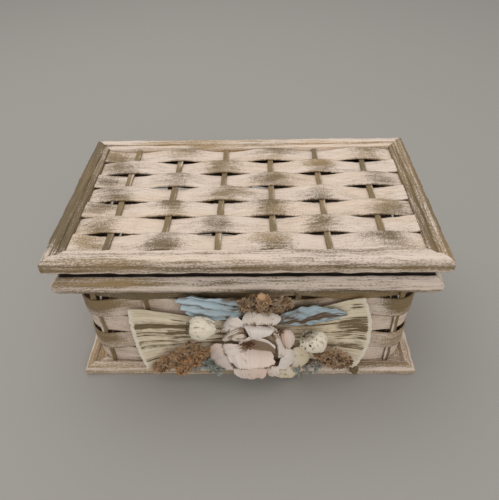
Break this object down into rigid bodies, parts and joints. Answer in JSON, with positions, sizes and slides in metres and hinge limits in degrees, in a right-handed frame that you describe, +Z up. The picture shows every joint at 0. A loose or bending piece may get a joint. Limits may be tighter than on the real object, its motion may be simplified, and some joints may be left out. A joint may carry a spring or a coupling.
{
  "type": "woven storage box",
  "caption": "Lidded rectangular storage box of woven wood splint with moulded base, rim and lid frames and a spray of dried flowers on its front.",
  "frame": {"origin": "middle of the box's flat underside", "axes": "+X to the right along the long side as seen from the front, +Y to the back, +Z up; the spray is on the -Y side"},
  "size_m": [0.2882, 0.194, 0.1355],
  "materials": {
    "whitewashed_splint": "thin wood splint, pale pink-cream whitewash with brown brushed through it",
    "brown_stick": "narrow sticks with worn brown underpaint",
    "washed_moulding": "moulded rail, whitewash dry-brushed over brown and ochre",
    "plain_board": "thin board, matte",
    "dried_husk": "dry ribbed husk, pale with brown streaks",
    "blue_leaf": "dry ribbed leaf, grey-blue paint worn to brown on the veins",
    "cream_bud": "dry cream petals folded into a bud",
    "pale_petal": "thin matte petals, pink-cream with ragged edges",
    "dried_sprig": "brown dried florets"
  },
  "bodies": {
    "root": {"wall_splint_1": "whitewashed_splint", "wall_splint_2": "whitewashed_splint", "wall_splint_3": "whitewashed_splint", "wall_splint_4": "whitewashed_splint", "wall_splint_5": "whitewashed_splint", "lid_splint_1": "whitewashed_splint", "lid_splint_2": "whitewashed_splint", "lid_splint_3": "whitewashed_splint", "lid_splint_4": "whitewashed_splint", "lid_splint_5": "whitewashed_splint", "lid_splint_6": "whitewashed_splint", "lid_splint_7": "whitewashed_splint", "wall_stake_01": "brown_stick", "wall_stake_02": "brown_stick", "wall_stake_03": "brown_stick", "wall_stake_04": "brown_stick", "wall_stake_05": "brown_stick", "wall_stake_06": "brown_stick", "wall_stake_07": "brown_stick", "wall_stake_08": "brown_stick", "wall_stake_09": "brown_stick", "wall_stake_10": "brown_stick", "wall_stake_11": "brown_stick", "wall_stake_12": "brown_stick", "wall_stake_13": "brown_stick", "wall_stake_14": "brown_stick", "wall_stake_15": "brown_stick", "wall_stake_16": "brown_stick", "wall_stake_17": "brown_stick", "wall_stake_18": "brown_stick", "wall_stake_19": "brown_stick", "wall_stake_20": "brown_stick", "lid_stick_1": "brown_stick", "lid_stick_2": "brown_stick", "lid_stick_3": "brown_stick", "lid_stick_4": "brown_stick", "lid_stick_5": "brown_stick", "lid_stick_6": "brown_stick", "base_rail_front": "washed_moulding", "base_rail_right": "washed_moulding", "base_rail_back": "washed_moulding", "base_rail_left": "washed_moulding", "rim_rail_front": "washed_moulding", "rim_rail_right": "washed_moulding", "rim_rail_back": "washed_moulding", "rim_rail_left": "washed_moulding", "lid_rail_front": "washed_moulding", "lid_rail_right": "washed_moulding", "lid_rail_back": "washed_moulding", "lid_rail_left": "washed_moulding", "bottom_board": "plain_board", "husk_fan": "dried_husk", "leaf_left": "blue_leaf", "leaf_right": "blue_leaf", "bud_left": "cream_bud", "bud_right": "cream_bud", "rose": "pale_petal", "sprig_left": "dried_sprig", "sprig_top": "dried_sprig", "sprig_right": "dried_sprig"}
  },
  "joints": []
}
